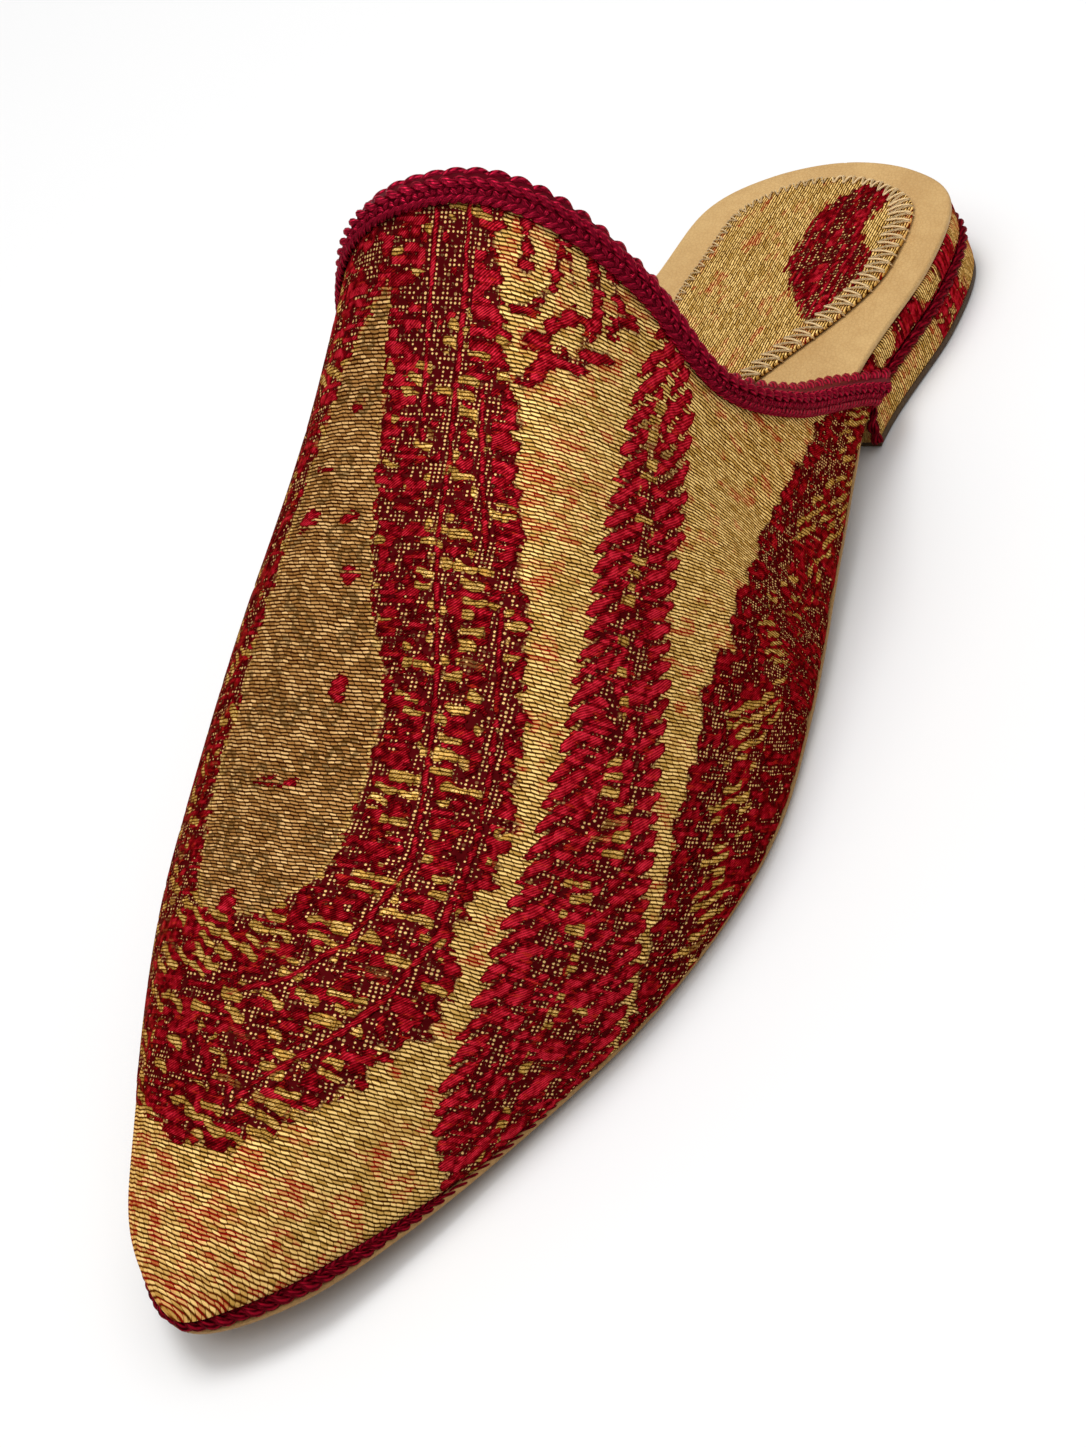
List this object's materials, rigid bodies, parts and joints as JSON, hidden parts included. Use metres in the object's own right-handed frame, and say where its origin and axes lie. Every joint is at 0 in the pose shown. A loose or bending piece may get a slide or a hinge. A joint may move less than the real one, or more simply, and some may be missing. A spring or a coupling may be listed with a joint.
{
  "type": "mule slipper",
  "caption": "Backless pointed-toe slipper for the left foot: hollow brocade upper with a braided collar on a thin leather sole with a low wrapped heel",
  "frame": {"origin": "on the floor, under the middle of the slipper's overall box", "axes": "toe toward -Y, heel toward +Y, lateral (outer) side +X, up +Z"},
  "size_m": [0.0882, 0.258, 0.0936],
  "materials": {
    "brocade": "woven gold and red brocade, slightly shiny floats",
    "crimson_braid": "crocheted crimson cord, soft",
    "sole_leather": "cut edge, undyed",
    "insole_leather": "smooth, satin",
    "lift_leather": "dark, matt"
  },
  "bodies": {
    "root": {"heel_lift": "lift_leather", "heel": "brocade", "outsole": "sole_leather", "heel_piping": "crimson_braid", "rand": "brocade", "insole": "insole_leather", "sock_panel": "brocade", "welt_cord": "crimson_braid", "upper": "brocade", "collar_braid": "crimson_braid"}
  },
  "joints": []
}
